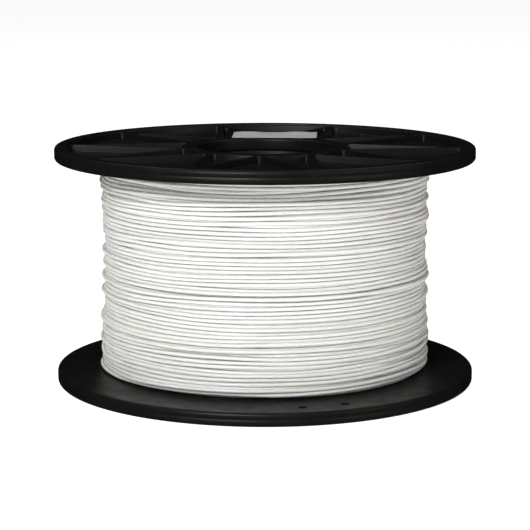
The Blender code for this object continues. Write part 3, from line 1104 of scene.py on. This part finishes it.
class SPOOL_OT_barrel(bpy.types.Operator):
    """Make the barrel that the filament is wound on"""

    bl_idname = "spool.barrel"
    bl_label = "Barrel"

    def execute(self, context):
        colour = [0.9 * c for c in context.scene.spool_moulding.colour]
        piece = barrel("barrel_moulding", black_plastic("barrel_plastic", colour, 0.48))
        piece.data.transform(Matrix.Translation((0, 0, HEIGHT / 2)))
        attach(piece, ROOT)
        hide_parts("barrel")
        return {"FINISHED"}


class SPOOL_OT_filament(bpy.types.Operator):
    """Wind the filament on the barrel and tie off its ends"""

    bl_idname = "spool.filament"
    bl_label = "Filament"

    def execute(self, context):
        settings = context.scene.spool_winding
        material = white_filament(settings.colour)
        turns, shown, surface, bottom, cell = lay(settings)
        print("laid", len(turns), "turns,", round(sum(tau * turn[:, 0].mean() for turn in turns), 1), "m")
        core = core_surface("winding_core", surface, bottom, cell, material)
        points = laid_points(turns[-shown:])
        keep = 6
        outer = strand("winding_strands", points[: -keep + 1], settings, material)
        end = strand(
            "tied_off_end", points[-keep:] + smooth_path([points[-1], *route_points(OUTER_END_ROUTE)])[3:],
            settings, material,
        )
        start = strand("anchored_end", smooth_path(route_points(INNER_END_ROUTE)), settings, material)
        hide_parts("filament_winding")
        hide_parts("filament_outer_end")
        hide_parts("filament_inner_end")
        for piece in (core, outer, end, start):
            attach(piece, ROOT)
        return {"FINISHED"}


def label_sheet(settings):
    """A flat sheet with rounded corners, in a grid fine enough to bend."""
    work = bmesh.new()
    bmesh.ops.create_grid(work, x_segments=56, y_segments=36, size=1)
    radius = settings.corner
    inner = Vector((settings.width / 2 - radius, settings.depth / 2 - radius))
    for vert in work.verts:
        x, y = vert.co.x * settings.width / 2, vert.co.y * settings.depth / 2
        across = max(0, abs(x) - inner.x) / radius
        along = max(0, abs(y) - inner.y) / radius
        if across and along:
            # This takes the square at each corner to a quarter of a disc.
            x = copysign(inner.x + radius * across * sqrt(1 - along**2 / 2), x)
            y = copysign(inner.y + radius * along * sqrt(1 - across**2 / 2), y)
        vert.co = (x, y, 0)
    return work


def hollow_share(point, outlines, span=0.007):
    """How far a point is over a pocket's middle, from 0 on a rib to 1."""
    for outline in outlines:
        edges = list(zip(outline, outline[1:] + outline[:1]))
        crossings = sum(
            (a.y > point.y) != (b.y > point.y) and a.x + (point.y - a.y) * (b.x - a.x) / (b.y - a.y) > point.x
            for a, b in edges
        )
        if crossings % 2:
            nearest = min((point - corner).length for corner in outline)
            for a, b in edges:
                share = min(1, max(0, (point - a).dot(b - a) / (b - a).length_squared))
                nearest = min(nearest, (a + (b - a) * share - point).length)
            near = min(1, nearest / span)
            return near * near * (3 - 2 * near)
    return 0


class SPOOL_OT_label(bpy.types.Operator):
    """Stick the blank label on the upper flange"""

    bl_idname = "spool.label"
    bl_label = "Label"

    def execute(self, context):
        settings = context.scene.spool_label
        low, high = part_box("label")
        middle = (low + high) / 2
        place = Matrix.Translation((middle.x, middle.y, UPPER_FACE + RIB_TOP + LABEL_LIFT))
        pockets = [rotated(outline, UPPER_TURN) for outline in pocket_outlines(context.scene.spool_moulding)]
        piece = finished("label_sticker", label_sheet(settings))
        piece.data.transform(place @ Matrix.Rotation(settings.turn, 4, "Z"))
        for vert in piece.data.vertices:
            vert.co.z -= settings.sag * hollow_share(vert.co.to_2d(), pockets)
        solid = piece.modifiers.new("Paper", "SOLIDIFY")
        solid.thickness = settings.thickness
        solid.offset = 1
        settle(piece)
        piece.data.materials.append(label_paper(settings.colour))
        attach(piece, ROOT)
        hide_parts("label")
        return {"FINISHED"}


OPERATORS = (SPOOL_OT_flanges, SPOOL_OT_barrel, SPOOL_OT_filament, SPOOL_OT_label, SPOOL_OT_stage)


class SPOOL_PT_panel(bpy.types.Panel):
    """Lists the spool's pieces in the sidebar"""

    bl_idname = "SPOOL_PT_panel"
    bl_label = "Filament Spool"
    bl_space_type = "VIEW_3D"
    bl_region_type = "UI"
    bl_category = "Spool"

    def draw(self, context):
        for operator in OPERATORS:
            self.layout.operator(operator.bl_idname)


SETTINGS = {
    "spool_moulding": SpoolMouldingSettings,
    "spool_winding": SpoolWindingSettings,
    "spool_label": SpoolLabelSettings,
    "spool_stage": SpoolStageSettings,
}


def register():
    for cls in (*SETTINGS.values(), *OPERATORS, SPOOL_PT_panel):
        bpy.utils.register_class(cls)
    for name, cls in SETTINGS.items():
        setattr(bpy.types.Scene, name, PointerProperty(type=cls))


def unregister():
    for name in SETTINGS:
        delattr(bpy.types.Scene, name)
    for cls in (SPOOL_PT_panel, *reversed(OPERATORS), *reversed(SETTINGS.values())):
        bpy.utils.unregister_class(cls)


def main():
    register()
    bpy.ops.spool.flanges()
    bpy.ops.spool.barrel()
    bpy.ops.spool.filament()
    bpy.ops.spool.label()
    bpy.ops.spool.stage()


if __name__ == "__main__":
    main()
